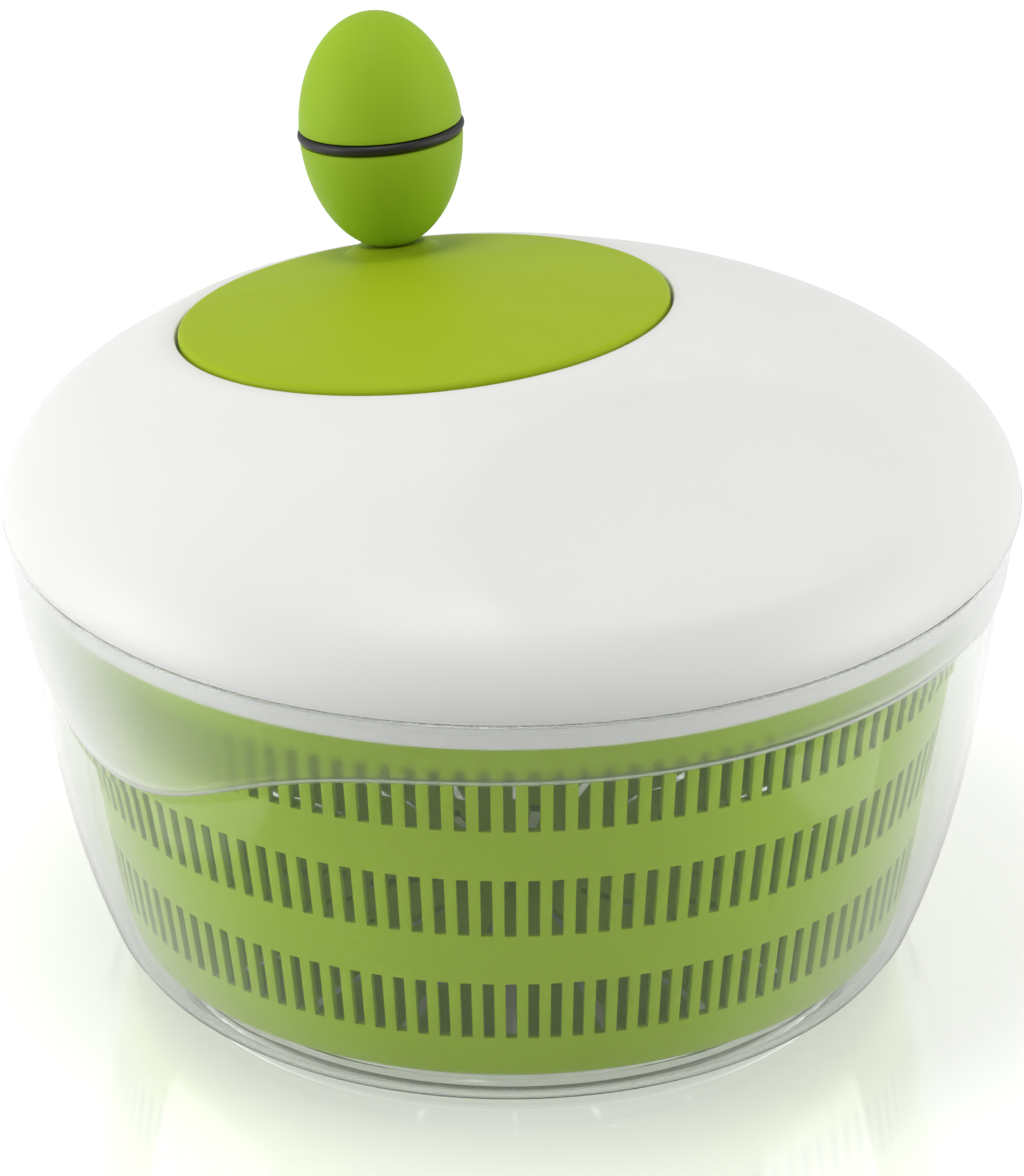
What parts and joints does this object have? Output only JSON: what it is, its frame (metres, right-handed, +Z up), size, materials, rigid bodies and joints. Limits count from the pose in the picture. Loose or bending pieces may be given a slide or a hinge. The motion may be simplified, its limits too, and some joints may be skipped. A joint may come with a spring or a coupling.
{
  "type": "salad spinner",
  "caption": "Hand-cranked salad spinner: clear bowl with a pour spout, green slotted basket on a centre pin, white domed lid, tilted crank disc and egg-shaped knob.",
  "frame": {"origin": "centre of the bowl foot, on the surface it stands on", "axes": "+Z up along the axis of the bowl, pour spout at -X, crank disc leaning out towards +Y"},
  "size_m": [0.26, 0.26, 0.2224],
  "materials": {
    "clear_plastic": "clear, polished",
    "green_satin": "satin, very fine grain",
    "green_gloss": "glossy moulded",
    "white_satin": "satin",
    "acetal": "natural acetal",
    "steel": "plain bright steel",
    "black_rubber": "soft black"
  },
  "bodies": {
    "bowl": {"bowl": "clear_plastic"},
    "pivot": {"basket_pivot_bush": "acetal"},
    "basket": {"basket": "green_gloss"},
    "lid": {"lid_cover": "white_satin", "lid_base": "white_satin", "shaft_bush_lower": "acetal", "shaft_bush_upper": "acetal", "crank_bush": "acetal", "crank_washer": "steel", "crank_screw": "steel", "lid_screw_1": "steel", "lid_screw_2": "steel", "lid_screw_3": "steel", "lid_screw_4": "steel", "lid_screw_5": "steel", "lid_screw_6": "steel"},
    "crank": {"crank_disc": "green_satin", "crank_ring_gear": "acetal", "knob_spindle": "steel", "knob_washer": "steel", "knob_screw": "steel", "ring_gear_screw_1": "steel", "ring_gear_screw_2": "steel", "ring_gear_screw_3": "steel"},
    "knob": {"knob_lower_half": "green_satin", "knob_upper_half": "green_satin", "knob_ring": "black_rubber", "knob_bush": "acetal"},
    "driver": {"drive_plate": "white_satin", "drive_shaft": "steel", "drive_pinion": "acetal", "pinion_clip": "steel", "drive_washer": "steel", "drive_screw": "steel"}
  },
  "joints": [
    {"name": "lid_lift", "type": "slide", "parent": "bowl", "child": "lid", "axis": [0, 0, 1], "range_m": [0, 0.3]},
    {"name": "basket_lift", "type": "slide", "parent": "bowl", "child": "pivot", "axis": [0, 0, 1], "range_m": [0, 0.15]},
    {"name": "crank_spin", "type": "hinge", "parent": "lid", "child": "crank", "pos_m": [0, 0.0386, 0.1606], "axis": [0, 0.1323, 0.9912], "continuous": true},
    {"name": "knob_spin", "type": "hinge", "parent": "crank", "child": "knob", "pos_m": [0.0197, 0.08243, 0.16016], "axis": [0, 0.1323, 0.9912], "continuous": true},
    {"name": "driver_spin", "type": "hinge", "parent": "lid", "child": "driver", "pos_m": [0, 0, 0.13], "axis": [0, 0, 1], "continuous": true},
    {"name": "basket_spin", "type": "hinge", "parent": "pivot", "child": "basket", "pos_m": [0, 0, 0.02], "axis": [0, 0, 1], "continuous": true}
  ],
  "couplings": [
    {"joint": "basket_lift", "follows": "lid_lift", "ratio": 0.5},
    {"joint": "driver_spin", "follows": "crank_spin", "ratio": 4},
    {"joint": "basket_spin", "follows": "crank_spin", "ratio": 4}
  ]
}
